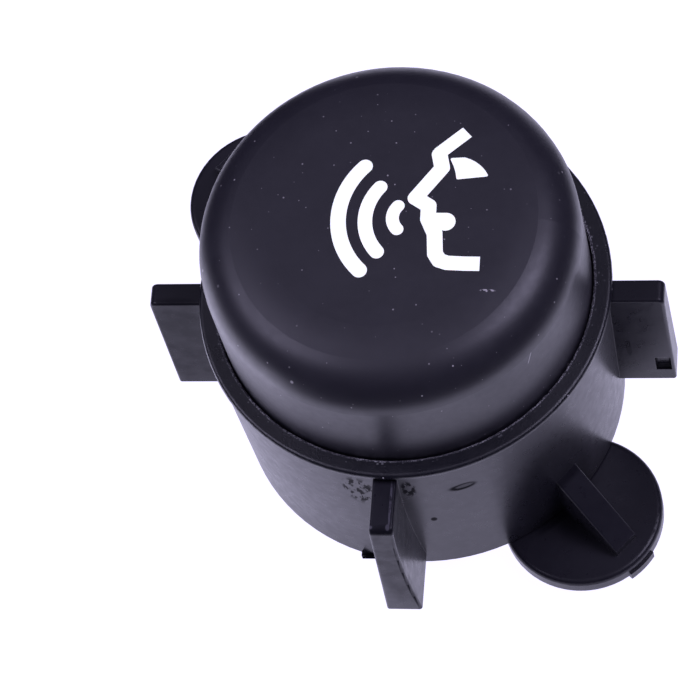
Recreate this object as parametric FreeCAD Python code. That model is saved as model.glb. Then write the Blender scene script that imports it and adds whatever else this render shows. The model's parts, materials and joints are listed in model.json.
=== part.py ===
import FreeCAD, Part
import math
import os

from FreeCAD import Vector

# Illuminated round push button with a voice pictogram, in millimetres, +Z up.
# The origin is on the cap's axis, in the plane that the base cover stands on.
# +X runs along the pictogram's reading direction, through the side tabs.

V_Z = Vector(0, 0, 1)
V_O = Vector(0, 0, 0)

# ---- driving dimensions ----
BASE_T = 1.05                      # base cover's flange, below the barrel
BARREL_H = 9.2                     # barrel's lower rim to the collar's top face
CAP_RISE = 5.9                     # collar's top face to the cap's crown
TRAVEL = 1.0                       # stroke of the cap

BARREL_Z = BASE_T
RING_TOP = BARREL_Z + BARREL_H
CAP_TOP = RING_TOP + CAP_RISE

RING_R = 8.2
RING_BORE = 7.48
RING_T = 0.3
RING_NOSE = 0.16
RING_BEVEL = 0.07
RING_FOOT_BEVEL = 0.06
RING_BOTTOM = RING_TOP - RING_T

BARREL_R = 7.9                     # at the foot
BARREL_TOP_R = 8.06                # the wall drafts outwards up to the collar
BARREL_FOOT_ROUND = 0.18
COUNTERBORE_R = RING_BORE
SHELF_R = 5.90
SHELF_Z = 5.2
SHELF_T = 1.2
HOOK_BORE_R = 6.5
BOARD_BORE_R = 6.7
BOARD_Z = 2.2
BOARD_T = 0.8
BOARD_TOP = BOARD_Z + BOARD_T

# guide tabs: (azimuth, yaw off the radius, reach, foot height, drop of the top from the collar)
TAB_DROP = 0.5
FAR_TAB_DROP = 1.3                 # the tab opposite the near one stops lower
TABS = {
    "right": (0.4, 0.0, 10.2, 3.28, TAB_DROP),
    "far": (88.3, 1.5, 10.32, 2.05, FAR_TAB_DROP),
    "left": (180.3, 0.0, 10.3, 3.13, TAB_DROP),
    "near": (268.3, 1.5, 10.32, 2.05, TAB_DROP),
}
FLARED_TABS = ("near", "far")      # one flank of each curves out towards its foot
TAB_T_TOP = 0.96
TAB_T_FOOT = 1.44
TAB_FLARE_BOW = 0.17
TAB_LEAN = 0.13                    # sideways offset of a flared tab's foot
TAB_EDGE = 0.12
TAB_NOSE = 0.28
TAB_CORNER = 0.3
LATCH_POCKET_W = 0.62
LATCH_POCKET_Z = (4.05, 5.05)
LATCH_POCKET_EDGE = 0.12
LATCH_POCKET_DEPTH = 0.24

# ears
EAR_R = 3.27
EAR_T = 0.9
EAR_CENTRE_R = 8.42
EAR_AZ = -40.7
LOW_EAR_TOP = 1.1
HIGH_EAR_AZ = 139.2
HIGH_EAR_TOP = 7.35
EAR_ROUND = 0.22
EAR_INNER_R = 7.2
GUSSET_T = 1.12
GUSSET_END_R = 10.9
GUSSET_RISE = 3.0
GUSSET_TOE = 0.4
GUSSET_EDGE = 0.08
LUG_W = 1.3
LUG_OUT = 0.1
LUG_H = 0.45

# cap
CAP_R = 7.42
CAP_CROWN_R = 150.0
CAP_CROWN_EDGE = 4.6               # radius where the crown starts to round over
CAP_BLEND_R = 8.0
CAP_SHOULDER = 1.85
CAP_WALL = 0.9
CAP_ROOF = 0.95
CAP_SKIRT_Z = 8.0
CAP_EDGE = 0.12
CAP_BORE = CAP_R - CAP_WALL
ROOF_Z = CAP_TOP - CAP_ROOF
CAVITY_SHOULDER = 1.0
BEAD_R = 6.28

# plunger
TUBE_R = 5.82
TUBE_BORE = 4.95
TUBE_Z = 4.4
TUBE_TOP = 13.9
FLANGE_T = 0.85
HOOK_R = 6.4
HOOK_T = 0.72
HOOK_SPAN = 30.0
SLOT_W = 0.5
SLOT_OFFSET = 3.0                  # degrees from a hook to the slot beside it
SLOT_TOP = 7.6
WEB_Z = 8.4
WEB_T = 0.8
POST_R = 1.15
GUIDE_RIB_W = 1.0
GUIDE_RIB_R = 6.3
GUIDE_RIB_TOP = SHELF_Z + SHELF_T + TRAVEL + 2

FIT = 0.02                         # gap between pieces that are fixed together
RUN = 0.08                         # gap of a sliding fit

# switch and spring
SWITCH_W = 4.2
SWITCH_BASE_T = 1.0
SWITCH_H = 3.3
SWITCH_WALL = 0.2
SWITCH_LEG_Y = 1.3
STEM_R = 1.2
STEM_HEAD_R = 1.55
STEM_TOP = 7.9
SPRING_R = 4.5
SPRING_WIRE = 0.2
SPRING_TURNS = 5.5
SWITCH_SPRING_R = 0.75
SWITCH_SPRING_WIRE = 0.09
SWITCH_SPRING_TURNS = 6.0
END_TURNS = 0.9                    # closed part of each end of a spring, in turns
END_TURN_PITCH = 2.12              # its climb, in wire radii
POINTS_PER_TURN = 24
LED_X = 3.2
PIN_PITCH = 1.7
PIN_Y = 5.0
PIN_W = 0.44
PIN_T = 0.22
PIN_TIP_Z = 0.12
PIN_STAND = 0.2                    # above the board
PIN_SHOULDER = 0.2
PIN_SHOULDER_H = 0.5
PIN_SLOT_GAP = 0.05

# rim key, base cover snaps, rubber ring, light guide, contact dome, terminal well
KEY_X = (-2.45, -1.15)
KEY_Y = (-7.72, -7.25)
KEY_DROP = 0.02
SNAP_AZ = 22.5
SNAP_Z = 1.35
SNAP_H = 0.4
SNAP_R = 6.86
SNAP_HALF_W = 0.9
CUSHION_T = 0.55
CUSHION_EDGE = 0.15
GUIDE_LEG_R = 0.8
GUIDE_PLATE_T = 1.0
LEG_Z = 5.1
DOME_RISE = 0.3
DOME_T = 0.08
DOME_R = 1.45
DOME_Z = BOARD_TOP + 0.42
WELL_X = 3.6
WELL_Y = (4.1, 5.75)
WELL_DEPTH = 0.45

# pictogram, in the XY plane of the crown
GLYPH_Z = CAP_TOP - 2.5
GLYPH_H = 4.0
ARC_TILT = 1.2
ARCS = [                           # centre, radius, half angle, stroke
    ((1.45, 0.00), 3.15, 45, 0.60),
    ((1.45, -0.08), 2.11, 41, 0.56),
    ((1.12, -0.03), 0.73, 43, 0.50),
]
BROW_LINE = [(3.03, 3.67), (1.99, 2.73)]
BROW_STROKE = 0.55
FACE_LINE = [(2.02, 2.70), (2.16, 2.10), (1.22, 0.80), (1.75, 0.46), (1.76, -0.10),
             (2.05, -0.72), (2.12, -1.58), (2.30, -1.86), (2.60, -1.96), (3.30, -1.99)]
FACE_STROKE = 0.60
CHIN_END = [(3.30, -1.99), (3.84, -1.99)]
LIP_CENTRE = (2.44, -0.22)
LIP_R = 0.38
LIP_BLOCK = (1.9, 2.44, -0.58, 0.16)
EYE = [(2.42, 2.53), (3.00, 2.56), (3.96, 1.74), (2.74, 1.60)]
EYE_BROW = (3.56, 2.27)
EYE_INNER = (2.64, 2.06)
EYE_ROUND = 0.06


def cyl(radius, z_low, z_high, x=0.0, y=0.0):
    return Part.makeCylinder(radius, z_high - z_low, Vector(x, y, z_low), V_Z)


def tube(outer, inner, z_low, z_high):
    return cyl(outer, z_low, z_high).cut(cyl(inner, z_low - 1, z_high + 1))


def block(x0, x1, y0, y1, z0, z1):
    return Part.makeBox(x1 - x0, y1 - y0, z1 - z0, Vector(x0, y0, z0))


def turned(points):
    """Solid of revolution about Z from (radius, height) corners."""
    corners = [Vector(r, 0, z) for r, z in points]
    face = Part.Face(Part.makePolygon(corners + corners[:1]))
    return face.revolve(V_O, V_Z, 360)


def turned_edges(edges):
    """Solid of revolution about Z from edges drawn in the XZ plane."""
    return Part.Face(Part.Wire(edges)).revolve(V_O, V_Z, 360)


def slab(points, thickness):
    """Plate in the XZ plane, centred on Y = 0."""
    corners = [Vector(x, -thickness / 2, z) for x, z in points]
    return Part.Face(Part.makePolygon(corners + corners[:1])).extrude(Vector(0, thickness, 0))


def polar(centre, radius, lean):
    """Point in the XZ plane, lean radians down from straight above centre."""
    return centre + Vector(radius * math.sin(lean), 0, radius * math.cos(lean))


def spun(shape, angle):
    copy = shape.copy()
    copy.rotate(V_O, V_Z, angle)
    return copy


def merged(shapes):
    body = shapes[0]
    for shape in shapes[1:]:
        body = body.fuse(shape)
    return body.removeSplitter()


def fillet_some(shape, radius, wanted):
    """Round the edges that wanted(edge) picks."""
    edges = [edge for edge in shape.Edges if wanted(edge)]
    return shape.makeFillet(radius, edges)


def is_upright(edge):
    return abs(edge.tangentAt(edge.FirstParameter).z) > 0.99


# ---- pictogram ----
def glyph_disc(radius, x, y):
    return cyl(radius, GLYPH_Z, GLYPH_Z + GLYPH_H, x, y)


def bar(p, q, width):
    """Straight stroke with square ends."""
    length = math.hypot(q[0] - p[0], q[1] - p[1])
    shape = Part.makeBox(length, width, GLYPH_H, Vector(0, -width / 2, 0))
    shape.rotate(V_O, V_Z, math.degrees(math.atan2(q[1] - p[1], q[0] - p[0])))
    shape.translate(Vector(p[0], p[1], GLYPH_Z))
    return shape


def stroke(p, q, width):
    """Straight stroke with round ends."""
    return merged([bar(p, q, width)] + [glyph_disc(width / 2, *end) for end in (p, q)])


def sound_arc(centre, radius, half_angle, width):
    """Arc that opens towards +X, with round ends."""
    band = tube(radius + width / 2, radius - width / 2, GLYPH_Z, GLYPH_Z + GLYPH_H)
    reach = 2 * radius
    rise = reach * math.tan(math.radians(half_angle))
    corners = [Vector(0, 0, GLYPH_Z), Vector(-reach, rise, GLYPH_Z), Vector(-reach, -rise, GLYPH_Z)]
    wedge = Part.Face(Part.makePolygon(corners + corners[:1])).extrude(Vector(0, 0, GLYPH_H))
    parts = [band.common(wedge)]
    for side in (1, -1):
        x = -radius * math.cos(math.radians(half_angle))
        y = side * radius * math.sin(math.radians(half_angle))
        parts.append(glyph_disc(width / 2, x, y))
    arc = spun(merged(parts), ARC_TILT)
    arc.translate(Vector(centre[0], centre[1], 0))
    return arc


def eye():
    a, b, c, d = [Vector(x, y, GLYPH_Z) for x, y in EYE]
    edges = [Part.LineSegment(a, b).toShape(),
             Part.Arc(b, Vector(EYE_BROW[0], EYE_BROW[1], GLYPH_Z), c).toShape(),
             Part.LineSegment(c, d).toShape(),
             Part.Arc(d, Vector(EYE_INNER[0], EYE_INNER[1], GLYPH_Z), a).toShape()]
    leaf = Part.Face(Part.Wire(edges)).extrude(Vector(0, 0, GLYPH_H))
    return fillet_some(leaf, EYE_ROUND, is_upright)


def pictogram():
    glyphs = [sound_arc(*arc) for arc in ARCS]
    strokes = [stroke(p, q, FACE_STROKE) for p, q in zip(FACE_LINE, FACE_LINE[1:])]
    strokes += [bar(*BROW_LINE, BROW_STROKE), bar(*CHIN_END, FACE_STROKE)]
    strokes += [glyph_disc(LIP_R, *LIP_CENTRE), block(*LIP_BLOCK, GLYPH_Z, GLYPH_Z + GLYPH_H)]
    glyphs.append(merged(strokes))
    glyphs.append(eye())
    return glyphs


# ---- cap ----
def cap_outside():
    """Cap filled solid: slight crown, a blend, the shoulder arc and a straight wall."""
    axis_top = Vector(0, 0, CAP_TOP)
    crown_centre = Vector(0, 0, CAP_TOP - CAP_CROWN_R)
    crown_lean = math.asin(CAP_CROWN_EDGE / CAP_CROWN_R)
    blend_centre = polar(crown_centre, CAP_CROWN_R - CAP_BLEND_R, crown_lean)
    blend_lean = math.asin((CAP_R - CAP_SHOULDER - blend_centre.x) / (CAP_BLEND_R - CAP_SHOULDER))
    shoulder_centre = polar(blend_centre, CAP_BLEND_R - CAP_SHOULDER, blend_lean)
    crown_end = polar(crown_centre, CAP_CROWN_R, crown_lean)
    blend_end = polar(blend_centre, CAP_BLEND_R, blend_lean)
    wall_top = polar(shoulder_centre, CAP_SHOULDER, math.pi / 2)
    crown_mid = polar(crown_centre, CAP_CROWN_R, crown_lean / 2)
    blend_mid = polar(blend_centre, CAP_BLEND_R, (crown_lean + blend_lean) / 2)
    shoulder_mid = polar(shoulder_centre, CAP_SHOULDER, (blend_lean + math.pi / 2) / 2)
    wall_foot = Vector(CAP_R, 0, CAP_SKIRT_Z + CAP_EDGE)
    foot = Vector(CAP_R - CAP_EDGE, 0, CAP_SKIRT_Z)
    axis_foot = Vector(0, 0, CAP_SKIRT_Z)
    return turned_edges([Part.Arc(axis_top, crown_mid, crown_end).toShape(),
                         Part.Arc(crown_end, blend_mid, blend_end).toShape(),
                         Part.Arc(blend_end, shoulder_mid, wall_top).toShape(),
                         Part.LineSegment(wall_top, wall_foot).toShape(),
                         Part.LineSegment(wall_foot, foot).toShape(),
                         Part.LineSegment(foot, axis_foot).toShape(),
                         Part.LineSegment(axis_foot, axis_top).toShape()])


def cap_cavity():
    return turned([(0, CAP_SKIRT_Z - 1), (CAP_BORE, CAP_SKIRT_Z - 1),
                   (CAP_BORE, ROOF_Z - CAVITY_SHOULDER), (CAP_BORE - CAVITY_SHOULDER, ROOF_Z),
                   (0, ROOF_Z)])


def cap_shell(glyphs):
    shell = cap_outside().cut(cap_cavity())
    bead_z = TUBE_TOP - FLANGE_T - 0.06
    bead = turned([(CAP_BORE + 0.1, bead_z - 0.5), (CAP_BORE - 0.02, bead_z - 0.5),
                   (BEAD_R, bead_z - 0.15), (BEAD_R, bead_z), (CAP_BORE + 0.1, bead_z)])
    shell = shell.fuse(bead).removeSplitter()
    for glyph in glyphs:
        shell = shell.cut(glyph)
    return shell


def legend_diffuser(glyphs):
    """White insert: a plate under the roof, with islands that fill the cap's windows."""
    plate = turned([(0, TUBE_TOP + FIT), (CAP_BORE - FIT, TUBE_TOP + FIT),
                    (CAP_BORE - FIT, ROOF_Z - CAVITY_SHOULDER - FIT),
                    (CAP_BORE - CAVITY_SHOULDER - FIT, ROOF_Z), (0, ROOF_Z)])
    filled = cap_outside()
    islands = [glyph.cut(cyl(CAP_R, GLYPH_Z - 1, ROOF_Z)).common(filled) for glyph in glyphs]
    return merged([plate] + islands)


# ---- plunger ----
def cap_carrier():
    body = tube(TUBE_R, TUBE_BORE, TUBE_Z, TUBE_TOP)
    flange = tube(CAP_BORE - FIT, TUBE_BORE, TUBE_TOP - FLANGE_T, TUBE_TOP)
    web = cyl(TUBE_BORE + 0.2, WEB_Z, WEB_Z + WEB_T)
    post = cyl(POST_R, STEM_TOP + FIT, WEB_Z + 0.1)
    parts = [body, flange, web, post]
    for side in (1, -1):
        y_near, y_far = sorted([side * (TUBE_R - 0.3), side * GUIDE_RIB_R])
        parts.append(block(-GUIDE_RIB_W / 2, GUIDE_RIB_W / 2, y_near, y_far, TUBE_Z, GUIDE_RIB_TOP))
    carrier = merged(parts)
    hook_profile = [(TUBE_R - 0.3, TUBE_Z), (TUBE_R + 0.1, TUBE_Z), (HOOK_R, TUBE_Z + 0.45),
                    (HOOK_R, TUBE_Z + HOOK_T), (TUBE_R - 0.3, TUBE_Z + HOOK_T)]
    corners = [Vector(r, 0, z) for r, z in hook_profile]
    hook_face = Part.Face(Part.makePolygon(corners + corners[:1]))
    hook_face.rotate(V_O, V_Z, -HOOK_SPAN / 2)
    hook = hook_face.revolve(V_O, V_Z, HOOK_SPAN)
    for quarter in range(4):
        mid = 45 + 90 * quarter
        carrier = carrier.fuse(spun(hook, mid))
    for quarter in range(4):
        for side in (1, -1):
            angle = 45 + 90 * quarter + side * (HOOK_SPAN / 2 + SLOT_OFFSET)
            slot = block(TUBE_BORE - 0.4, HOOK_R + 0.3, -SLOT_W / 2, SLOT_W / 2, TUBE_Z - 1, SLOT_TOP)
            carrier = carrier.cut(spun(slot, angle))
    for side in (1, -1):
        carrier = carrier.cut(cyl(GUIDE_LEG_R + FIT, WEB_Z - 1, WEB_Z + WEB_T + 1, side * LED_X, 0))
    return carrier.removeSplitter()


def light_guide():
    plate = cyl(TUBE_BORE - FIT, WEB_Z + WEB_T, WEB_Z + WEB_T + GUIDE_PLATE_T)
    legs = [cyl(GUIDE_LEG_R, LEG_Z, WEB_Z + WEB_T + 0.2, side * LED_X, 0) for side in (1, -1)]
    return merged([plate] + legs)


# ---- housing ----
def barrel_outside():
    """Barrel filled solid, drafted outwards up to the collar."""
    foot_round_z = BARREL_Z + BARREL_FOOT_ROUND
    return turned([(0, BARREL_Z), (BARREL_R - BARREL_FOOT_ROUND, BARREL_Z), (BARREL_R, foot_round_z),
                   (BARREL_TOP_R, RING_BOTTOM), (0, RING_BOTTOM)])


def guide_tab(reach, foot_z, top_z, flared):
    """Radial fin on +X, thicker towards its foot, with a rounded outer top corner."""
    top_half = TAB_T_TOP / 2
    foot_half = TAB_T_FOOT / 2
    root = BARREL_R - 0.35
    top_left = Vector(root, -top_half, top_z)
    top_right = Vector(root, top_half, top_z)
    lean = TAB_LEAN if flared else 0
    foot_right = Vector(root, foot_half - lean, foot_z)
    foot_left = Vector(root, -foot_half - lean, foot_z)
    flank = Part.LineSegment(top_right, foot_right)
    if flared:
        bow = (top_right + foot_right) * 0.5 - Vector(0, TAB_FLARE_BOW, 0)
        flank = Part.Arc(top_right, bow, foot_right)
    outline = Part.Wire([Part.LineSegment(top_left, top_right).toShape(), flank.toShape(),
                         Part.LineSegment(foot_right, foot_left).toShape(),
                         Part.LineSegment(foot_left, top_left).toShape()])
    fin = Part.Face(outline).extrude(Vector(reach - root, 0, 0))

    def top_outer(edge):
        middle = edge.CenterOfMass
        return middle.z > top_z - 0.01 and middle.x > reach - 0.01

    def upright_outer(edge):
        middle = edge.CenterOfMass
        upright = edge.BoundBox.ZLength > TAB_CORNER
        return upright and middle.x > reach - 0.01

    fin = fillet_some(fin, TAB_NOSE, top_outer)
    return fillet_some(fin, TAB_EDGE, upright_outer)


def latch_pocket(reach):
    """Pocket in the right tab's -Y face, near its outer edge."""
    low, high = LATCH_POCKET_Z
    outer = reach - LATCH_POCKET_EDGE
    face = -TAB_T_FOOT / 2
    pocket = block(outer - LATCH_POCKET_W, outer, face - 1, face + LATCH_POCKET_DEPTH, low, high)
    return fillet_some(pocket, LATCH_POCKET_DEPTH / 2,
                       lambda edge: edge.CenterOfMass.y > face + LATCH_POCKET_DEPTH - 0.01)


def ear(top_z, gusset_rise):
    """Round ear on +X with a rounded rim, a sloping gusset and a flat lug under its outer edge."""
    plate = cyl(EAR_R, top_z - EAR_T, top_z, EAR_CENTRE_R, 0)
    plate = plate.makeFillet(EAR_ROUND, plate.Edges[0:1] + plate.Edges[2:3])
    gusset = slab([(BARREL_R - 0.4, top_z - 0.3), (GUSSET_END_R, top_z - 0.3),
                   (GUSSET_END_R, top_z + GUSSET_TOE), (BARREL_R - 0.1, top_z + gusset_rise),
                   (BARREL_R - 0.4, top_z + gusset_rise)], GUSSET_T)
    slope = math.hypot(GUSSET_END_R - BARREL_R, gusset_rise - GUSSET_TOE) * 0.5
    gusset = fillet_some(gusset, GUSSET_EDGE,
                         lambda edge: edge.Length > slope and edge.CenterOfMass.z > top_z + GUSSET_TOE)
    lug_low = top_z - EAR_T
    lug_disc = cyl(EAR_R + LUG_OUT, lug_low, lug_low + LUG_H, EAR_CENTRE_R, 0)
    lug = lug_disc.common(block(EAR_CENTRE_R, EAR_CENTRE_R + EAR_R + 1, -LUG_W / 2, LUG_W / 2,
                                  lug_low, lug_low + LUG_H))
    body = merged([plate, gusset, lug])
    return body.cut(cyl(EAR_INNER_R, top_z - EAR_T - 1, top_z + gusset_rise + 1))


def housing_hollow():
    """Bores and shelf inside the barrel, from the open foot up to the collar."""
    shelf_top = SHELF_Z + SHELF_T
    bores = turned([(0, BARREL_Z - 1), (BOARD_BORE_R, BARREL_Z - 1), (BOARD_BORE_R, BOARD_TOP),
                    (HOOK_BORE_R, BOARD_TOP), (HOOK_BORE_R, SHELF_Z), (SHELF_R, SHELF_Z),
                    (SHELF_R, shelf_top), (COUNTERBORE_R, shelf_top),
                    (COUNTERBORE_R, RING_BOTTOM + 1), (0, RING_BOTTOM + 1)])
    shapes = [bores]
    half = GUIDE_RIB_W / 2 + RUN
    for side in (1, -1):
        y_near, y_far = sorted([side * (SHELF_R - 0.5), side * (GUIDE_RIB_R + RUN)])
        shapes.append(block(-half, half, y_near, y_far, SHELF_Z - 0.1, shelf_top + 0.1))
    for quarter in range(4):
        window = block(BOARD_BORE_R - 0.4, SNAP_R + 0.06, -SNAP_HALF_W, SNAP_HALF_W,
                       SNAP_Z - 0.05, SNAP_Z + SNAP_H + 0.05)
        shapes.append(spun(window, SNAP_AZ + 90 * quarter))
    return shapes


def housing_barrel():
    key = block(KEY_X[0], KEY_X[1], KEY_Y[0], KEY_Y[1], BARREL_Z - KEY_DROP, BARREL_Z + 0.3)
    parts = [barrel_outside(), key]
    for name, (azimuth, yaw, reach, foot_z, drop) in TABS.items():
        fin = guide_tab(reach, foot_z, RING_TOP - drop, name in FLARED_TABS)
        if name == "right":
            fin = fin.cut(latch_pocket(reach))
        fin.rotate(Vector((BARREL_R + reach) / 2, 0, 0), V_Z, yaw)
        parts.append(spun(fin, azimuth))
    parts.append(spun(ear(LOW_EAR_TOP, GUSSET_RISE), EAR_AZ))
    parts.append(spun(ear(HIGH_EAR_TOP, RING_BOTTOM - HIGH_EAR_TOP), HIGH_EAR_AZ))
    body = merged(parts)
    for shape in housing_hollow():
        body = body.cut(shape)
    return body.removeSplitter()


def collar_ring():
    """Collar with a round nose, a small bevel at its bore and a flat seat."""
    nose_r = RING_R - RING_NOSE
    diagonal = RING_NOSE * math.sqrt(0.5)
    foot_z = RING_BOTTOM + RING_FOOT_BEVEL
    top_in = Vector(RING_BORE + RING_BEVEL, 0, RING_TOP)
    top_out = Vector(nose_r, 0, RING_TOP)
    nose_mid = Vector(nose_r + diagonal, 0, RING_TOP - RING_NOSE + diagonal)
    nose_end = Vector(RING_R, 0, RING_TOP - RING_NOSE)
    side_foot = Vector(RING_R, 0, foot_z)
    under_out = Vector(RING_R - RING_FOOT_BEVEL, 0, RING_BOTTOM)
    under_in = Vector(RING_BORE, 0, RING_BOTTOM)
    bore_top = Vector(RING_BORE, 0, RING_TOP - RING_BEVEL)
    return turned_edges([Part.LineSegment(top_in, top_out).toShape(),
                         Part.Arc(top_out, nose_mid, nose_end).toShape(),
                         Part.LineSegment(nose_end, side_foot).toShape(),
                         Part.LineSegment(side_foot, under_out).toShape(),
                         Part.LineSegment(under_out, under_in).toShape(),
                         Part.LineSegment(under_in, bore_top).toShape(),
                         Part.LineSegment(bore_top, top_in).toShape()])


def cushion_ring():
    """Rubber ring with chamfered upper edges, lying on the shelf."""
    low = SHELF_Z + SHELF_T
    high = low + CUSHION_T
    inner = GUIDE_RIB_R + 0.12
    outer = COUNTERBORE_R - 0.04
    return turned([(inner, low), (outer, low), (outer, high - CUSHION_EDGE),
                   (outer - CUSHION_EDGE, high), (inner + CUSHION_EDGE, high),
                   (inner, high - CUSHION_EDGE)])


# ---- board and electrical pieces ----
def pin_places():
    return [(PIN_PITCH * (index - 1.5), PIN_Y) for index in range(4)]


def circuit_board():
    board = cyl(BOARD_BORE_R - 0.06, BOARD_Z, BOARD_TOP)
    for x, y in pin_places():
        board = board.cut(cyl(PIN_W / 2 + 0.12, BOARD_Z - 1, BOARD_TOP + 1, x, y))
    notch = block(-0.6, 0.6, -BOARD_BORE_R - 1, -BOARD_BORE_R + 0.6, BOARD_Z - 1, BOARD_TOP + 1)
    return board.cut(notch)


def terminal_pin(x, y):
    half = PIN_W / 2
    shoulder_half = half + PIN_SHOULDER
    y_low, y_high = y - PIN_T / 2, y + PIN_T / 2
    shaft = block(x - half, x + half, y_low, y_high, PIN_TIP_Z, BOARD_TOP + PIN_STAND)
    shoulder = block(x - shoulder_half, x + shoulder_half, y_low, y_high, BOARD_Z - PIN_SHOULDER_H, BOARD_Z)
    return merged([shaft, shoulder])


def switch_base():
    half = SWITCH_W / 2
    body = block(-half, half, -half, half, BOARD_TOP, BOARD_TOP + SWITCH_BASE_T)
    well = cyl(half - 0.45, BOARD_TOP + 0.4, BOARD_TOP + SWITCH_BASE_T + 1)
    body = body.cut(well)
    legs = []
    for side_x in (1, -1):
        for side_y in (1, -1):
            x_near, x_far = sorted([side_x * (half - 0.2), side_x * (half + 0.45)])
            y = side_y * SWITCH_LEG_Y
            legs.append(block(x_near, x_far, y - 0.3, y + 0.3, BOARD_TOP, BOARD_TOP + 0.2))
    return merged([body] + legs)


def switch_cover():
    """Pressed steel can over the switch, with a round hole for its stem."""
    half = SWITCH_W / 2
    can_z = BOARD_TOP + SWITCH_BASE_T
    top = BOARD_TOP + SWITCH_H
    can = block(-half, half, -half, half, can_z, top)
    can = fillet_some(can, 0.25, lambda edge: is_upright(edge) or edge.CenterOfMass.z > top - 0.01)
    inner = half - SWITCH_WALL
    can = can.cut(block(-inner, inner, -inner, inner, can_z - 1, top - SWITCH_WALL))
    return can.cut(cyl(STEM_R + RUN, top - 1, top + 1))


def switch_stem():
    top = BOARD_TOP + SWITCH_H - SWITCH_WALL
    shaft = cyl(STEM_R, top - 0.2, STEM_TOP)
    shaft = fillet_some(shaft, 0.2, lambda e: e.CenterOfMass.z > STEM_TOP - 0.01)
    head = cyl(STEM_HEAD_R, top - 0.5, top - 0.04)
    return merged([shaft, head])


def contact_dome():
    """Shallow sprung disc on the floor of the switch's well."""
    def cap(radius, rise, z):
        sphere_r = (radius ** 2 + rise ** 2) / (2 * rise)
        ball = Part.makeSphere(sphere_r, Vector(0, 0, z + rise - sphere_r))
        return ball.common(cyl(radius + 1, z, z + rise + 1))
    return cap(DOME_R, DOME_RISE, DOME_Z).cut(cap(DOME_R - DOME_T, DOME_RISE - DOME_T, DOME_Z))


def coil_spring(mean_r, wire_r, z_low, z_high, turns):
    """Coil with a nearly closed turn at each end, whose wire stays between two planes."""
    climb = z_high - z_low - 2 * wire_r
    end_climb = END_TURN_PITCH * wire_r
    open_pitch = (climb - 2 * end_climb) / (turns - 2 * END_TURNS)
    steps = int(turns * POINTS_PER_TURN)
    points = []
    for i in range(steps + 1):
        turn = turns * i / steps
        closed = min(turn, END_TURNS) + max(0, turn - turns + END_TURNS)
        rise = end_climb * closed / END_TURNS + open_pitch * (turn - closed)
        angle = 2 * math.pi * turn
        points.append(Vector(mean_r * math.cos(angle), mean_r * math.sin(angle), z_low + wire_r + rise))
    curve = Part.BSplineCurve()
    curve.interpolate(points)
    start = curve.tangent(curve.FirstParameter)[0]
    section = Part.Wire(Part.makeCircle(wire_r, points[0], start))
    return Part.Wire([curve.toShape()]).makePipeShell([section], True, True)


def led(side):
    x = side * LED_X
    base = block(x - 0.4, x + 0.4, -0.8, 0.8, BOARD_TOP, BOARD_TOP + 0.25)
    lens = block(x - 0.38, x + 0.38, -0.5, 0.5, BOARD_TOP + 0.25, BOARD_TOP + 0.6)
    lens = fillet_some(lens, 0.12, lambda e: e.CenterOfMass.z > BOARD_TOP + 0.59)
    return merged([base, lens])


def resistor(side):
    y = -side * 2.95
    x = side * 1.9
    body = block(x - 0.5, x + 0.5, y - 0.25, y + 0.25, BOARD_TOP, BOARD_TOP + 0.32)
    return body


def base_cover():
    flange = cyl(EAR_INNER_R - 0.1, 0, BASE_T)
    flange = fillet_some(flange, 0.15, lambda e: e.CenterOfMass.z < 0.01)
    rim = tube(BOARD_BORE_R - 0.06, BOARD_BORE_R - 0.8, BASE_T - 0.1, BOARD_Z)
    cover = merged([flange, rim])
    for quarter in range(4):
        wedge_points = [(BOARD_BORE_R - 0.5, SNAP_Z), (BOARD_BORE_R, SNAP_Z), (SNAP_R, SNAP_Z + 0.06),
                        (BOARD_BORE_R - 0.1, SNAP_Z + SNAP_H), (BOARD_BORE_R - 0.5, SNAP_Z + SNAP_H)]
        cover = cover.fuse(spun(slab(wedge_points, 1.6), SNAP_AZ + 90 * quarter))
    well = block(-WELL_X, WELL_X, *WELL_Y, -1, WELL_DEPTH)
    cover = cover.cut(well)
    half = PIN_W / 2 + PIN_SLOT_GAP
    half_t = PIN_T / 2 + PIN_SLOT_GAP
    shoulder_low = BOARD_Z - PIN_SHOULDER_H - PIN_SLOT_GAP
    for x, y in pin_places():
        for half_w, low in ((half, -1), (half + PIN_SHOULDER, shoulder_low)):
            cover = cover.cut(block(x - half_w, x + half_w, y - half_t, y + half_t, low, BOARD_Z + 1))
    return cover.removeSplitter()


def all_nodes():
    glyphs = pictogram()
    stem_foot = BOARD_TOP + SWITCH_H - SWITCH_WALL - 0.5
    nodes = {
        "housing_barrel": housing_barrel(),
        "collar_ring": collar_ring(),
        "cushion_ring": cushion_ring(),
        "cap_shell": cap_shell(glyphs),
        "legend_diffuser": legend_diffuser(glyphs),
        "cap_carrier": cap_carrier(),
        "light_guide": light_guide(),
        "return_spring": coil_spring(SPRING_R, SPRING_WIRE, BOARD_TOP, WEB_Z, SPRING_TURNS),
        "circuit_board": circuit_board(),
        "switch_base": switch_base(),
        "switch_cover": switch_cover(),
        "switch_stem": switch_stem(),
        "switch_spring": coil_spring(SWITCH_SPRING_R, SWITCH_SPRING_WIRE, DOME_Z + DOME_RISE,
                                     stem_foot, SWITCH_SPRING_TURNS),
        "contact_dome": contact_dome(),
        "base_cover": base_cover(),
    }
    for name, side in (("left", -1), ("right", 1)):
        nodes["led_" + name] = led(side)
        nodes["resistor_" + name] = resistor(side)
    for index, (x, y) in enumerate(pin_places()):
        nodes["terminal_pin_%d" % (index + 1)] = terminal_pin(x, y)
    return nodes


def main():
    os.makedirs("parts", exist_ok=True)
    for name, shape in all_nodes().items():
        shape.exportStep("parts/%s.step" % name)
        box = shape.BoundBox
        print("%-18s valid %s solids %d volume %.3f z %.3f to %.3f" % (
            name, shape.isValid(), len(shape.Solids), shape.Volume, box.ZMin, box.ZMax))


main()
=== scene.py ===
import json
import math

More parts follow.
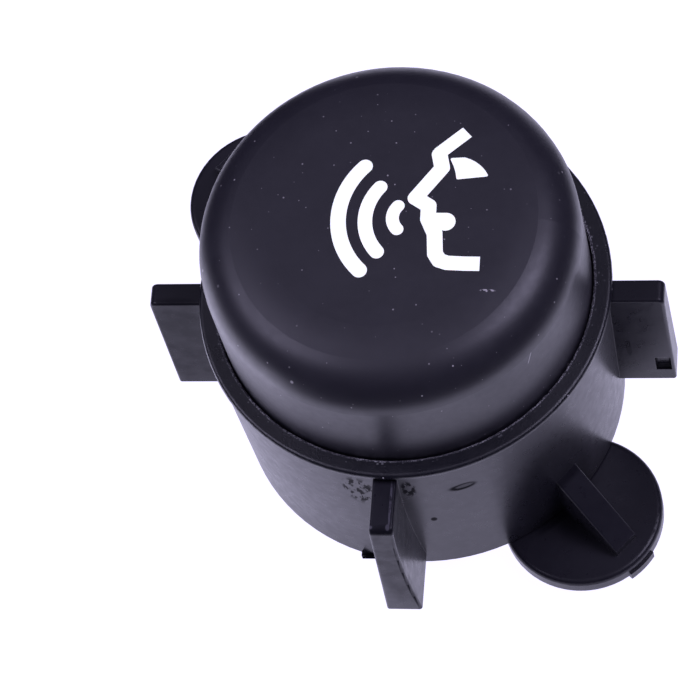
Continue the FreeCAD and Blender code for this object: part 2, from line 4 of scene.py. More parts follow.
import bpy
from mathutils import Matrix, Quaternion, Vector


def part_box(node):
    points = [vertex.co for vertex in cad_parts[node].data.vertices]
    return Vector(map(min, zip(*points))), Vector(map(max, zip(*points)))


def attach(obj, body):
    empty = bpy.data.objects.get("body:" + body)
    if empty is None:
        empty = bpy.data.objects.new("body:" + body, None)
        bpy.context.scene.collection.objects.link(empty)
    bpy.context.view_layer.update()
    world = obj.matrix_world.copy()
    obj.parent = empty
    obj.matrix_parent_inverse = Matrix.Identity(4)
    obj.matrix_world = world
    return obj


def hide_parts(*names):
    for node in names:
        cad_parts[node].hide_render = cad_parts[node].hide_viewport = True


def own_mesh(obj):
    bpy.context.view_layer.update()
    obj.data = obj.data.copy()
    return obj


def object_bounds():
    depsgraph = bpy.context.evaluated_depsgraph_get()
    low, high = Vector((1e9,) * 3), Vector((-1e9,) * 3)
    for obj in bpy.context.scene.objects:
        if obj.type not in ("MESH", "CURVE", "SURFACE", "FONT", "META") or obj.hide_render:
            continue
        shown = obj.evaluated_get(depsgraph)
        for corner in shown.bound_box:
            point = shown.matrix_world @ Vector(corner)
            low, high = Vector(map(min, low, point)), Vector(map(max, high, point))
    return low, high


# Looks of the illuminated voice push button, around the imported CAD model. Metres, +Z up.

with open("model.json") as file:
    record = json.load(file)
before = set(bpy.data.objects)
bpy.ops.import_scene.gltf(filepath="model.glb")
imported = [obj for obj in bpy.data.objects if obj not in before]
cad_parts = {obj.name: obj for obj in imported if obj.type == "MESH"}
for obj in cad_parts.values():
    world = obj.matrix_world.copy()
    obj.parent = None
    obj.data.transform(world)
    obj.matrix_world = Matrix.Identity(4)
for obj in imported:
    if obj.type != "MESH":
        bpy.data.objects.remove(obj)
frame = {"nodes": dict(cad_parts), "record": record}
NODES = frame["nodes"]
CAD_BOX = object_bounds()

MM = 0.001

# ---- places taken from the CAD model ----
RING_TOP_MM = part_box("collar_ring")[1].z / MM
RING_BORE_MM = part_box("cap_shell")[1].x / MM + 0.06
SPRINGS = (
    # node, joint that shortens it, wire radius, turns
    ("return_spring", "cap_press", 0.2 * MM, 5.5),
    ("switch_spring", "stem_press", 0.09 * MM, 6.0),
)

# ---- board details ----
# a joint's outline: radius and height above the board, in millimetres
SOLDER = ((0.36, 0.0), (0.35, 0.03), (0.28, 0.08), (0.24, 0.15), (0.21, 0.17))
TIN = 0.02 * MM                     # thickness of the tin on a resistor's end
TINNED_END = 0.22 * MM              # length of that end
# an LED's pad: length outside the LED, length under it, thickness
PAD_OUT, PAD_IN, PAD_T = 0.10 * MM, 0.2 * MM, 0.06 * MM

# ---- camera ----
CAMERA_AIM = (-2.33 * MM, -2.33 * MM, 10.1 * MM)
CAMERA_AZIMUTH = 21.43
CAMERA_ELEVATION = 62.41
CAMERA_ROLL = -19.17
CAMERA_DISTANCE = 157.0 * MM
CAMERA_LENS = 211.3

# ---- studio ----
PAPER_R = 0.030                     # bright paper round the object, seen in reflections
FLOOR_R = 3.0
PAPER_WHITE = (0.14, 0.14, 0.14)
PAPER_TINT = (0.77, 0.74, 1.0)
PAPER_GLOW = 1.32
LEFT_LIGHT_POOL = (168, 222, 0.017, 0.070)   # azimuths and radii of a painted pool of light on the paper, where the left softbox lights it
BACK_PAPER = (60, 112, 0.030, 0.062)
# glow of that painted pool of light
LEFT_LIGHT_POOL_GLOW = 3.1
LIGHT_TINT = (0.76, 0.71, 1.0)
SOFTBOXES = (
    # name, azimuth from +X, elevation, distance, width, height, watts
    ("softbox_right", 8, 56, 0.60, 0.30, 0.30, 1.85),
    ("softbox_left", 181, 54, 0.60, 0.30, 0.30, 1.22),
)
HORIZON = (0.014, 0.013, 0.024)
OVERHEAD = (0.335, 0.318, 0.44)


# ---------------------------------------------------------------- node helpers

class Surface:
    """Builds one procedural material. Coordinates are the part's own, in millimetres."""

    def __init__(self, name, **sockets):
        self.material = bpy.data.materials.new(name)
        self.material.use_nodes = True
        self.tree = self.material.node_tree
        self.shader = self.tree.nodes["Principled BSDF"]
        for socket, value in sockets.items():
            self.shader.inputs[socket.replace("_", " ")].default_value = value
        place = self.add("ShaderNodeTexCoord").outputs["Object"]
        self.mm = self.vector("SCALE", place, scale=1000.0)
        parts = self.add("ShaderNodeSeparateXYZ")
        self.link(self.mm, parts.inputs[0])
        self.x, self.y, self.z = parts.outputs

    def add(self, kind, **settings):
        node = self.tree.nodes.new(kind)
        for key, value in settings.items():
            setattr(node, key, value)
        return node

    def link(self, source, target):
        if isinstance(source, (int, float, tuple)):
            target.default_value = source
        else:
            self.tree.links.new(source, target)

    def math(self, operation, a, b=0.0, c=0.0, clamp=False):
        node = self.add("ShaderNodeMath", operation=operation, use_clamp=clamp)
        for value, target in zip((a, b, c), node.inputs):
            self.link(value, target)
        return node.outputs[0]

    def vector(self, operation, a, b=(0.0, 0.0, 0.0), scale=1.0):
        node = self.add("ShaderNodeVectorMath", operation=operation)
        self.link(a, node.inputs[0])
        self.link(b, node.inputs[1])
        if operation == "SCALE":
            node.inputs["Scale"].default_value = scale
        gives_number = operation in ("LENGTH", "DOT_PRODUCT")
        return node.outputs["Value"] if gives_number else node.outputs[0]

    def stretched(self, x, y, z):
        """The part's coordinates, multiplied by a factor along each axis."""
        return self.vector("MULTIPLY", self.mm, (x, y, z))

    def noise(self, size, detail=2.0, rough=0.5, where=None):
        """Noise from 0 to 1 whose features are about size millimetres across."""
        node = self.add("ShaderNodeTexNoise")
        self.link(self.mm if where is None else where, node.inputs["Vector"])
        node.inputs["Scale"].default_value = 1.0 / size
        node.inputs["Detail"].default_value = detail
        node.inputs["Roughness"].default_value = rough
        return node.outputs["Fac"]

    def ramp(self, value, low, high, out_low=0.0, out_high=1.0, smooth=True):
        """value from low..high to out_low..out_high, held at both ends."""
        node = self.add("ShaderNodeMapRange")
        node.interpolation_type = "SMOOTHSTEP" if smooth else "LINEAR"
        sources = (value, low, high, out_low, out_high)
        names = ("Value", "From Min", "From Max", "To Min", "To Max")
        for source, name in zip(sources, names):
            self.link(source, node.inputs[name])
        return node.outputs["Result"]

    def mix(self, share, a, b):
        """Colour a where share is 0 and colour b where it is 1."""
        node = self.add("ShaderNodeMix", data_type="RGBA")
        self.link(share, node.inputs[0])
        self.link(a, node.inputs[6])
        self.link(b, node.inputs[7])
        return node.outputs[2]

    def blend(self, share, a, b):
        """Number a where share is 0 and number b where it is 1."""
        node = self.add("ShaderNodeMix", data_type="FLOAT")
        self.link(share, node.inputs[0])
        self.link(a, node.inputs[2])
        self.link(b, node.inputs[3])
        return node.outputs[0]

    def specks(self, spacing, size, chance):
        """Up to 1 in a few soft specks, at most size millimetres across, and 0 elsewhere."""
        cell = self.add("ShaderNodeTexVoronoi")
        self.link(self.mm, cell.inputs["Vector"])
        cell.inputs["Scale"].default_value = 1.0 / spacing
        pick = self.add("ShaderNodeSeparateColor")
        self.link(cell.outputs["Color"], pick.inputs[0])
        chosen = self.math("LESS_THAN", pick.outputs[0], chance)
        radius = self.ramp(pick.outputs[1], 0.0, 1.0, 0.2 * size / spacing, 0.5 * size / spacing)
        core = self.math("MULTIPLY", radius, 0.4)
        inside = self.ramp(cell.outputs["Distance"], core, radius, 1.0, 0.0)
        faint = self.math("POWER", pick.outputs[2], 1.5)
        return self.math("MULTIPLY", self.math("MULTIPLY", chosen, inside), faint)

    def radius(self):
        """Distance from the button's axis."""
        flat = self.vector("MULTIPLY", self.mm, (1.0, 1.0, 0.0))
        return self.vector("LENGTH", flat)

    def near(self, point, size):
        """1 at a point and 0 outside an ellipsoid round it, both in millimetres."""
        away = self.vector("SUBTRACT", self.mm, point)
        away = self.vector("DIVIDE", away, size)
        return self.ramp(self.vector("LENGTH", away), 0.6, 1.0, 1.0, 0.0)

    def bump(self, *layers, edge=0.0):
        """Layers of (height from 0 to 1, depth in millimetres), stacked on softened edges."""
        normal = None
        if edge:
            soft = self.add("ShaderNodeBevel")
            soft.inputs["Radius"].default_value = edge * MM
            normal = soft.outputs[0]
        for height, depth in layers:
            node = self.add("ShaderNodeBump")
            node.inputs["Strength"].default_value = 1.0
            node.inputs["Distance"].default_value = depth * MM
            self.link(height, node.inputs["Height"])
            if normal is not None:
                self.link(normal, node.inputs["Normal"])
            normal = node.outputs[0]
        self.link(normal, self.shader.inputs["Normal"])

    def set(self, socket, source):
        self.link(source, self.shader.inputs[socket])


def shade(color):
    return (*color, 1.0)


# ---------------------------------------------------------------- materials

SOFT_TOUCH = shade((0.0145, 0.0135, 0.0200))
SOFT_TOUCH_PALE = shade((0.0168, 0.0158, 0.0228))
DUST = shade((0.42, 0.40, 0.42))
LEGEND_PAINTED_GLOW = 0.5                   # painted glow: the insert shines white with no lamp behind it
SATIN_BLACK = shade((0.0110, 0.0104, 0.0155))
SATIN_PALE = shade((0.0135, 0.0128, 0.0185))
RING_BLACK = shade((0.0075, 0.0075, 0.0120))
RUBBED_AND_HIGHLIGHT = shade((0.115, 0.110, 0.135))      # pale, where the black is worn or dusty, and a painted highlight on the ring's bore edge and the near tab's top edge
# painted glints on the ring's bore edge, and dust specks on the ring
PAINTED_GLINT_AND_DUST = shade((0.75, 0.74, 0.78))
# colour of the dark marks and of the painted shade on the barrel
SCUFF_AND_SHADE_DARK = shade((0.0030, 0.0030, 0.0045))

# marks: centre and half size, in millimetres
FLAKE = ((4.2, -3.09, 16.04), (0.34, 0.07, 0.20))
TICK = ((5.63, -4.82, 13.81), (0.4, 0.4, 0.36))
TICK_ACROSS = (0.651, 0.759, -0.447)       # direction across the tick, along the cap's wall
TICK_OFFSET = -6.17
LEFT_SCUFFS = ((-1.50, -7.8, 8.3), (0.85, 0.8, 1.5))
RIGHT_SCUFFS = ((0.5, -8.0, 8.7), (0.36, 0.5, 0.9))
OVAL = ((2.54, -7.61, 8.08), (0.74, 0.45, 0.34))
OVAL_MIDDLE = ((2.62, -7.61, 8.12), (0.45, 0.40, 0.16))
DOT = ((1.09, -7.9, 5.54), (0.16, 0.3, 0.22))
RIGHT_TAB_SMEAR = ((8.5, -0.57, 5.9), (0.13, 0.4, 0.8))
# painted shade on the barrel, centre and half size in millimetres: the near tab's flank and face,
# the left tab's side and the low ear's corner
NEAR_TAB_FLANK_SHADE = ((0.25, -9.1, 7.4), (0.60, 1.5, 3.6))
NEAR_TAB_FACE_SHADE = ((-0.1, -10.2, 6.6), (1.2, 0.35, 5.4))
LEFT_TAB_SIDE_SHADE = ((-9.3, -0.6, 6.6), (1.8, 0.6, 5.0))
RIM_KEY = ((-1.8, -7.75, 1.15), (0.95, 0.45, 0.40))
EAR_CORNER_SHADE = ((5.7, -5.5, 3.6), (2.3, 2.3, 5.4))
TAB_TOP_EDGE = ((0.03, -9.15, 9.77), (0.065, 1.25, 0.15))
TAB_TOP_ENDS = (((-0.02, -10.08, 9.74), (0.10, 0.16, 0.12)),
                ((-0.74, -10.08, 9.74), (0.16, 0.10, 0.12)))
WALL_EDGE = (8.10, 8.30)                   # radii between which the barrel's wall ends


def cap_material():
    """Soft-touch paint: matt, faintly mottled, with fine grain, dust and two small scratches."""
    s = Surface("soft_touch_paint", IOR=1.5, Specular_IOR_Level=0.5)
    mottled = s.ramp(s.noise(1.6, 3.0), 0.35, 0.7)
    dust = s.specks(0.30, 0.10, 0.35)
    coarse = s.specks(0.80, 0.18, 0.20)
    flake = s.math("MULTIPLY", s.near(*FLAKE), s.ramp(s.noise(0.12, 2.0, 0.6), 0.44, 0.56))
    off_line = s.math("SUBTRACT", s.vector("DOT_PRODUCT", s.mm, TICK_ACROSS), TICK_OFFSET)
    tick = s.ramp(s.math("ABSOLUTE", off_line), 0.012, 0.035, 0.7, 0.0)
    tick = s.math("MULTIPLY", tick, s.near(*TICK))
    flaw = s.math("MAXIMUM", flake, tick)
    light = s.math("MAXIMUM", s.math("MAXIMUM", dust, coarse), flaw)
    color = s.mix(mottled, SOFT_TOUCH, SOFT_TOUCH_PALE)
    s.set("Base Color", s.mix(light, color, DUST))
    s.set("Roughness", s.ramp(s.noise(0.35, 4.0, 0.6), 0.3, 0.7, 0.37, 0.42))
    s.bump((s.noise(0.06, 2.0, 0.6), 0.0012))
    return s.material


def legend_material():
    """Milky translucent plastic, a little uneven in colour, with a painted glow."""
    s = Surface("legend_white", IOR=1.49, Roughness=0.45, Subsurface_Weight=0.25)
    s.shader.inputs["Subsurface Scale"].default_value = 0.4 * MM
    s.shader.inputs["Emission Color"].default_value = shade((1.0, 1.0, 0.98))
    # painted glow that keeps the insert white
    s.shader.inputs["Emission Strength"].default_value = LEGEND_PAINTED_GLOW
    uneven = s.ramp(s.noise(0.5, 3.0), 0.35, 0.7)
    s.set("Base Color", s.mix(uneven, shade((0.93, 0.93, 0.90)), shade((0.88, 0.88, 0.86))))
    s.bump((s.noise(0.12, 2.0), 0.001))
    return s.material


def ring_material():
    """Satin black ring whose bore edge is rubbed through to a sparkling line; the line is also a
    painted highlight and its sparkle painted glints, beside dust specks.
    """
    s = Surface("collar_satin", IOR=1.5)
    from_bore = s.math("SUBTRACT", s.radius(), RING_BORE_MM)
    rim = s.ramp(s.math("ABSOLUTE", from_bore), 0.05, 0.13, 1.0, 0.0)
    high = s.ramp(s.z, RING_TOP_MM - 0.10, RING_TOP_MM - 0.05)
    line = s.math("MULTIPLY", rim, high)
    grit = s.ramp(s.noise(0.08, 2.0, 0.7), 0.48, 0.60)
    patchy = s.ramp(s.noise(1.1, 3.0, 0.6), 0.38, 0.58, 0.30, 0.9)
    # painted glints: bright grains along the bore edge stand for its sparkling highlight
    glint = s.math("MULTIPLY", s.math("MULTIPLY", line, grit), patchy)
    # more painted glints, as specks in a band at the bore edge
    from_middle = s.math("SUBTRACT", from_bore, 0.07)
    band = s.ramp(s.math("ABSOLUTE", from_middle), 0.10, 0.20, 1.0, 0.0)
    sparks = s.math("MULTIPLY", band, s.specks(0.20, 0.15, 0.75))
    # dust specks over the whole ring join the painted glints
    glint = s.math("MAXIMUM", s.math("MAXIMUM", glint, sparks), s.specks(0.30, 0.12, 0.40))
    # the bore edge's pale line: rubbed wear and a painted highlight
    color = s.mix(s.math("MULTIPLY", line, 0.45), RING_BLACK, RUBBED_AND_HIGHLIGHT)
    s.set("Base Color", s.mix(glint, color, PAINTED_GLINT_AND_DUST))
    s.set("Roughness", s.ramp(s.noise(0.5, 4.0), 0.3, 0.7, 0.26, 0.36))
    s.bump((s.noise(0.10, 3.0, 0.6), 0.0016), (grit, 0.002), edge=0.05)
    return s.material


def barrel_material():
    """Moulded black plastic: fine texture, scuffs, a tool mark, a rubbed tab edge that is also a
    painted highlight, and painted shade.
    """
    s = Surface("barrel_moulded", IOR=1.5)
    cloudy = s.ramp(s.noise(2.4, 4.0, 0.6), 0.3, 0.72)
    color = s.mix(cloudy, SATIN_BLACK, SATIN_PALE)
    # dark marks: scuffs beside the near tab, an oval tool mark, a dot and the shaded key
    fleck = s.noise(0.26, 3.0, 0.6, where=s.stretched(1.0, 1.0, 0.45))
    scuffs = s.math("MAXIMUM", s.near(*LEFT_SCUFFS), s.near(*RIGHT_SCUFFS))
    scuffs = s.math("MULTIPLY", s.math("MULTIPLY", scuffs, s.ramp(fleck, 0.47, 0.57)), 0.85)
    middle = s.math("MULTIPLY", s.near(*OVAL_MIDDLE), 0.5)
    oval = s.math("MULTIPLY", s.math("SUBTRACT", s.near(*OVAL), middle, clamp=True), 0.9)
    dot = s.math("MULTIPLY", s.near(*DOT), 0.85)
    smear = s.math("MULTIPLY", s.near(*RIGHT_TAB_SMEAR), 0.35)
    # painted shade, darker and less glossy: the tabs' sides, the corner at the low ear and the
    # wall's foot
    darker = s.math("MAXIMUM", s.near(*NEAR_TAB_FLANK_SHADE), s.near(*LEFT_TAB_SIDE_SHADE))
    darker = s.math("MAXIMUM", darker, s.near(*NEAR_TAB_FACE_SHADE))
    darker = s.math("MULTIPLY", darker, s.ramp(s.noise(0.8, 3.0), 0.3, 0.7, 0.28, 0.46))
    wall = s.ramp(s.radius(), *WALL_EDGE, 1.0, 0.0)
    # painted shade in the corner at the low ear, on the wall only
    corner = s.math("MULTIPLY", s.math("MULTIPLY", s.near(*EAR_CORNER_SHADE), wall), 0.45)
    # painted shade towards the wall's foot, stronger on the left
    foot = s.math("MULTIPLY", s.ramp(s.z, 0.8, 5.0, 0.34, 0.0), wall)
    foot = s.math("MULTIPLY", foot, s.ramp(s.x, -3.5, 1.0, 1.0, 0.25))
    dark = s.near(*RIM_KEY)
    # dark: the marks and the painted shade together
    for layer in (scuffs, oval, dot, smear, darker, corner, foot):
        dark = s.math("MAXIMUM", dark, layer)
    # rubbed places: the near tab's top edge, pale as wear and as a painted highlight, and its outer
    # corners
    streaks = s.noise(0.10, 3.0, 0.7, where=s.stretched(1.0, 0.3, 1.0))
    # the top edge strip: streaked wear and a painted highlight together
    rubs_and_highlight = s.math("MULTIPLY", s.near(*TAB_TOP_EDGE), s.ramp(streaks, 0.38, 0.62, 0.05, 0.6))
    for end in TAB_TOP_ENDS:
        rubs_and_highlight = s.math("MAXIMUM", rubs_and_highlight, s.math("MULTIPLY", s.near(*end), 0.5))
    light = s.math("MAXIMUM", rubs_and_highlight, s.specks(0.45, 0.08, 0.14))
    s.set("Base Color", s.mix(light, s.mix(dark, color, SCUFF_AND_SHADE_DARK), RUBBED_AND_HIGHLIGHT))
    shine = s.math("POWER", s.math("SUBTRACT", 1.0, dark, clamp=True), 1.6)
    s.set("Specular IOR Level", s.math("MULTIPLY", shine, 0.25))
    s.set("Roughness", s.ramp(s.noise(0.4, 3.0), 0.3, 0.7, 0.27, 0.33))
    s.bump((s.noise(0.08, 1.0, 0.5), 0.0004), (s.noise(0.9, 2.0), 0.0015), edge=0.035)
    return s.material


def plain_plastic(name, color, pale, roughness, grain=0.1, depth=0.0015):
    """Moulded plastic in one colour, clouded and finely grained."""
    s = Surface(name, IOR=1.5)
    cloudy = s.ramp(s.noise(1.5, 3.0), 0.35, 0.7)
    s.set("Base Color", s.mix(cloudy, shade(color), shade(pale)))
    low, high = roughness
    s.set("Roughness", s.ramp(s.noise(0.4, 3.0), 0.3, 0.7, low, high))
    s.bump((s.noise(grain, 2.0, 0.6), depth))
    return s.material


def clear_material():
    """Clear acrylic with faint flow marks."""
    s = Surface("clear_acrylic", IOR=1.49, Transmission_Weight=1.0)
    s.set("Base Color", s.mix(s.noise(2.0), shade((0.97, 0.98, 0.98)), shade((0.93, 0.95, 0.95))))
    s.set("Roughness", s.ramp(s.noise(0.8, 2.0), 0.3, 0.7, 0.05, 0.12))
    s.bump((s.noise(1.2, 1.0), 0.003))
    return s.material


def metal_material(name, color, darker, roughness, drawn=(1.0, 1.0, 1.0)):
    """Bare or plated metal with fine lines along one direction."""
    s = Surface(name, Metallic=1.0)
    lines = s.noise(0.12, 3.0, 0.6, where=s.stretched(*drawn))
    s.set("Base Color", s.mix(s.ramp(lines, 0.3, 0.7), shade(color), shade(darker)))
    low, high = roughness
    s.set("Roughness", s.ramp(lines, 0.3, 0.7, low, high))
    s.bump((lines, 0.001))
    return s.material


def board_material():
    """Green solder mask over laminate, with the weave showing faintly and a bare edge."""
    s = Surface("board_laminate", IOR=1.5, Coat_Weight=0.4, Coat_Roughness=0.2)
    warp = s.add("ShaderNodeTexWave", bands_direction="X")
    weft = s.add("ShaderNodeTexWave", bands_direction="Y")
    for wave in (warp, weft):
        s.link(s.mm, wave.inputs["Vector"])
        wave.inputs["Scale"].default_value = 1.0
        wave.inputs["Distortion"].default_value = 0.6
    woven = s.math("MULTIPLY", warp.outputs["Fac"], weft.outputs["Fac"])
    mask = s.mix(woven, shade((0.012, 0.085, 0.035)), shade((0.020, 0.120, 0.050)))
    face = s.math("ABSOLUTE", s.math("SUBTRACT", s.z, 2.6))
    bare = s.ramp(face, 0.36, 0.375, 1.0, 0.0)
    s.set("Base Color", s.mix(bare, mask, shade((0.42, 0.38, 0.20))))
    s.set("Roughness", s.blend(bare, 0.28, 0.65))
    s.bump((woven, 0.004))
    return s.material


MATERIALS = {
    "cap": cap_material(),
    "legend": legend_material(),
    "collar": ring_material(),
    "barrel": barrel_material(),
    "carrier": plain_plastic(
        "carrier_black", (0.016, 0.016, 0.018), (0.024, 0.024, 0.027), (0.42, 0.52)),
    "rubber": plain_plastic(
        "silicone_rubber", (0.045, 0.045, 0.048), (0.060, 0.060, 0.064), (0.62, 0.74)),
    "clear": clear_material(),
    "spring_steel": metal_material(
        "spring_steel", (0.62, 0.60, 0.57), (0.42, 0.41, 0.39), (0.22, 0.36)),
    "board": board_material(),
    "switch_plastic": plain_plastic(
        "switch_base_black", (0.02, 0.02, 0.02), (0.03, 0.03, 0.03), (0.4, 0.5)),
    "switch_can": metal_material(
        "switch_can", (0.80, 0.79, 0.76), (0.62, 0.61, 0.58), (0.2, 0.34), (6.0, 0.6, 1.0)),
    "stem_plastic": plain_plastic(
        "stem_black", (0.03, 0.028, 0.026), (0.05, 0.047, 0.044), (0.35, 0.45)),
    "base": plain_plastic(
        "base_nylon", (0.020, 0.020, 0.022), (0.032, 0.032, 0.035), (0.42, 0.54), 0.14, 0.003),
    "led": plain_plastic("led_resin", (0.78, 0.70, 0.34), (0.86, 0.80, 0.50), (0.2, 0.3)),
    "resistor": plain_plastic(
        "resistor_ceramic", (0.03, 0.03, 0.035), (0.05, 0.05, 0.055), (0.3, 0.4)),
    "terminal": metal_material(
        "tin_plate", (0.74, 0.73, 0.70), (0.58, 0.57, 0.54), (0.24, 0.38), (1.0, 1.0, 0.15)),
}


def dress_nodes():
    """Puts each CAD node in the material of its slot in the record."""
    for part in frame["record"]["subparts"]:
        piece = NODES[part["node"]]
        piece.data.materials.clear()
        piece.data.materials.append(MATERIALS[part["material_slot"]])


# ---------------------------------------------------------------- springs

def coil(name, mean_r, wire_r, low, high, turns, closed=0.9, around=12, steps=40):
    """Round-wire coil with a nearly closed turn at each end, as one mesh."""
    climb = high - low - 2 * wire_r
    end_climb = 2.12 * wire_r
    open_pitch = (climb - 2 * end_climb) / (turns - 2 * closed)
    count = int(turns * steps)
    points, faces = [], []
    for i in range(count + 1):
        turn = turns * i / count
        ends = min(turn, closed) + max(0.0, turn - turns + closed)
        rise = end_climb * ends / closed + open_pitch * (turn - ends)
        angle = 2 * math.pi * turn
        out = Vector((math.cos(angle), math.sin(angle), 0.0))
        centre = out * mean_r + Vector((0, 0, low + wire_r + rise))
        for k in range(around):
            side = 2 * math.pi * k / around
            points.append(centre + (out * math.cos(side) + Vector((0, 0, math.sin(side)))) * wire_r)
    for i in range(count):
        for k in range(around):
            a, b = i * around + k, i * around + (k + 1) % around
            faces.append((a, b, b + around, a + around))
    faces.append(tuple(range(around - 1, -1, -1)))
    faces.append(tuple(count * around + k for k in range(around)))
    mesh = bpy.data.meshes.new(name)
    mesh.from_pydata(points, [], faces)
    for face in mesh.polygons:
        face.use_smooth = len(face.vertices) == 4
    piece = bpy.data.objects.new(name, mesh)
    bpy.context.scene.collection.objects.link(piece)
    piece.data.materials.append(MATERIALS["spring_steel"])
    return piece


def springs():
    """The two coils, drawn at rest length; in the button they shorten as the cap and the stem go
    down.
    """
    for node, joint, wire_r, turns in SPRINGS:
        low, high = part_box(node)
        piece = coil(node + "_coil", high.x - wire_r, wire_r, low.z, high.z, turns)
        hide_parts(node)
        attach(piece, "housing")
        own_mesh(piece)


# ---------------------------------------------------------------- board details

def own_piece(name, points, faces, slot, body="housing"):
    """One of this script's own pieces, in a material of the record and riding on a body."""
    mesh = bpy.data.meshes.new(name)
    mesh.from_pydata(points, [], faces)
    piece = bpy.data.objects.new(name, mesh)
    bpy.context.scene.collection.objects.link(piece)
    piece.data.materials.append(MATERIALS[slot])
    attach(piece, body)
    return piece


def lathe(name, profile, x, y, slot, segments=28):
    """Closed turned piece about an upright line through (x, y); profile from the foot up."""
    points, faces = [], []
    for radius, z in profile:
        for k in range(segments):
            angle = 2 * math.pi * k / segments
            points.append((x + radius * math.cos(angle), y + radius * math.sin(angle), z))
    for row in range(len(profile) - 1):
        for k in range(segments):
            a, b = row * segments + k, row * segments + (k + 1) % segments
            faces.append((a, b, b + segments, a + segments))
    top = (len(profile) - 1) * segments
    faces.append(tuple(range(segments - 1, -1, -1)))
    faces.append(tuple(top + k for k in range(segments)))
    piece = own_piece(name, points, faces, slot)
    for face in piece.data.polygons:
        face.use_smooth = len(face.vertices) == 4
    return piece


def brick(name, low, high, slot):
    """Box between two corners."""
    points = [(x, y, z) for x in (low[0], high[0])
              for y in (low[1], high[1]) for z in (low[2], high[2])]
    faces = [(0, 1, 3, 2), (4, 6, 7, 5), (0, 4, 5, 1), (2, 3, 7, 6), (0, 2, 6, 4), (1, 5, 7, 3)]
    return own_piece(name, points, faces, slot)


def board_details():
    """Solder round the pins, tinned ends on the resistors and pads under the LEDs."""
    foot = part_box("circuit_board")[1].z
    profile = [(r * MM, foot + z * MM) for r, z in SOLDER]
    for index in range(1, 5):
        low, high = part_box("terminal_pin_%d" % index)
        x, y = (low.x + high.x) / 2, (low.y + high.y) / 2
        lathe("solder_%d" % index, profile, x, y, "terminal")
    for side in ("left", "right"):
        low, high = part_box("resistor_" + side)
        for end, x0, x1 in (("a", low.x - TIN, low.x + TINNED_END),
                            ("b", high.x - TINNED_END, high.x + TIN)):
            brick("resistor_%s_end_%s" % (side, end), (x0, low.y - TIN, low.z),
                  (x1, high.y + TIN, high.z + TIN), "terminal")
        low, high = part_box("led_" + side)
        for end, y0, y1 in (("a", low.y - PAD_OUT, low.y + PAD_IN),
                            ("b", high.y - PAD_IN, high.y + PAD_OUT)):
            brick("led_%s_pad_%s" % (side, end), (low.x - TIN, y0, low.z),
                  (high.x + TIN, y1, low.z + PAD_T), "terminal")


# ---------------------------------------------------------------- studio

def sector(name, start, end, inner, outer, z, segments=96):
    """Flat piece between two azimuths and two radii."""
    points, faces = [], []
    for radius in (inner, outer):
        for k in range(segments + 1):
            angle = math.radians(start + (end - start) * k / segments)
            points.append((radius * math.cos(angle), radius * math.sin(angle), z))
    for k in range(segments):
        faces.append((k, segments + 1 + k, segments + 2 + k, k + 1))
    mesh = bpy.data.meshes.new(name)
    mesh.from_pydata(points, [], faces)
    piece = bpy.data.objects.new(name, mesh)
    bpy.context.scene.collection.objects.link(piece)
    return piece


def paper_material(name, glow):
    paper = bpy.data.materials.new(name)
    paper.use_nodes = True
    shader = paper.node_tree.nodes["Principled BSDF"]
    shader.inputs["Base Color"].default_value = shade(PAPER_WHITE)
    shader.inputs["Roughness"].default_value = 0.9
    shader.inputs["Specular IOR Level"].default_value = 0.0
    shader.inputs["Emission Color"].default_value = shade(PAPER_TINT)
    shader.inputs["Emission Strength"].default_value = glow
    return paper


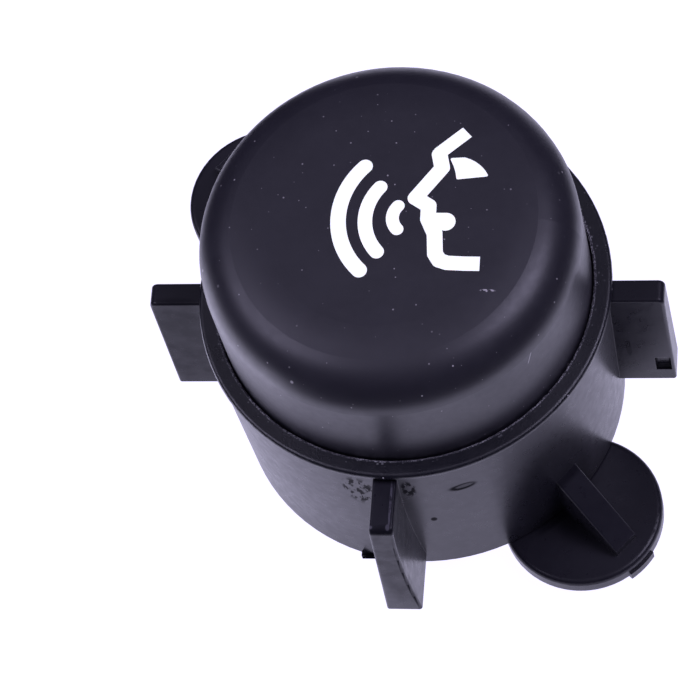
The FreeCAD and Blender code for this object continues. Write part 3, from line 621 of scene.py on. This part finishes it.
def studio():
    floor_z = CAD_BOX[0].z - 0.02 * MM
    start, end, inner, outer = LEFT_LIGHT_POOL
    plain = paper_material("studio_paper", PAPER_GLOW)
    # a painted pool of light: paper on the left that glows brighter, standing for the left
    # softbox's light on it
    bright = paper_material("studio_paper_light_pool", LEFT_LIGHT_POOL_GLOW)
    near = sector("paper_near", 0, 360, 1e-5, PAPER_R, floor_z)
    far = sector("paper_far", 0, 360, PAPER_R, FLOOR_R, floor_z)
    left = sector("paper_light_pool", start, end, inner, outer, floor_z + 0.01 * MM)
    start, end, inner, outer = BACK_PAPER
    back = sector("paper_back", start, end, inner, outer, floor_z + 0.01 * MM)
    for piece, paper in ((near, plain), (far, plain), (back, plain), (left, bright)):
        piece.data.materials.append(paper)
    far.visible_glossy = False
    for name, azimuth, elevation, distance, width, height, watts in SOFTBOXES:
        light = bpy.data.lights.new(name, "AREA")
        light.shape = "RECTANGLE"
        light.size, light.size_y, light.energy = width, height, watts
        light.color = LIGHT_TINT
        lamp = bpy.data.objects.new(name, light)
        a, e = math.radians(azimuth), math.radians(elevation)
        out = Vector((math.cos(a) * math.cos(e), math.sin(a) * math.cos(e), math.sin(e)))
        lamp.location = out * distance
        lamp.rotation_euler = out.to_track_quat("Z", "Y").to_euler()
        bpy.context.scene.collection.objects.link(lamp)
    world = bpy.data.worlds.new("studio_world")
    bpy.context.scene.world = world
    world.use_nodes = True
    tree = world.node_tree
    sky_shader = tree.nodes["Background"]
    path = tree.nodes.new("ShaderNodeLightPath")
    pick = tree.nodes.new("ShaderNodeMix")
    pick.data_type = "RGBA"
    place = tree.nodes.new("ShaderNodeTexCoord")
    parts = tree.nodes.new("ShaderNodeSeparateXYZ")
    tree.links.new(place.outputs["Generated"], parts.inputs[0])
    height = tree.nodes.new("ShaderNodeMapRange")
    height.inputs["From Min"].default_value = 0.45
    height.inputs["From Max"].default_value = 0.95
    tree.links.new(parts.outputs["Z"], height.inputs["Value"])
    sky = tree.nodes.new("ShaderNodeMix")
    sky.data_type = "RGBA"
    sky.inputs[6].default_value = shade(HORIZON)
    sky.inputs[7].default_value = shade(OVERHEAD)
    tree.links.new(height.outputs["Result"], sky.inputs[0])
    tree.links.new(sky.outputs[2], pick.inputs[6])
    pick.inputs[7].default_value = shade((0.93, 0.93, 0.95))
    tree.links.new(path.outputs["Is Camera Ray"], pick.inputs[0])
    tree.links.new(pick.outputs[2], sky_shader.inputs["Color"])
    bpy.context.scene.view_settings.view_transform = "Standard"


def camera():
    data = bpy.data.cameras.new("camera")
    data.lens = CAMERA_LENS
    data.sensor_width = 36.0
    data.clip_start = 0.01
    data.clip_end = 20.0
    view = bpy.data.objects.new("camera", data)
    a, e = math.radians(CAMERA_AZIMUTH), math.radians(CAMERA_ELEVATION)
    back = Vector((math.sin(a) * math.cos(e), -math.cos(a) * math.cos(e), math.sin(e)))
    view.location = Vector(CAMERA_AIM) + back * CAMERA_DISTANCE
    level = (-back).to_track_quat("-Z", "Y")
    turned = level @ Quaternion((0, 0, 1), math.radians(CAMERA_ROLL))
    view.rotation_euler = turned.to_euler()
    bpy.context.scene.collection.objects.link(view)
    bpy.context.scene.camera = view


dress_nodes()
springs()
board_details()
studio()
camera()
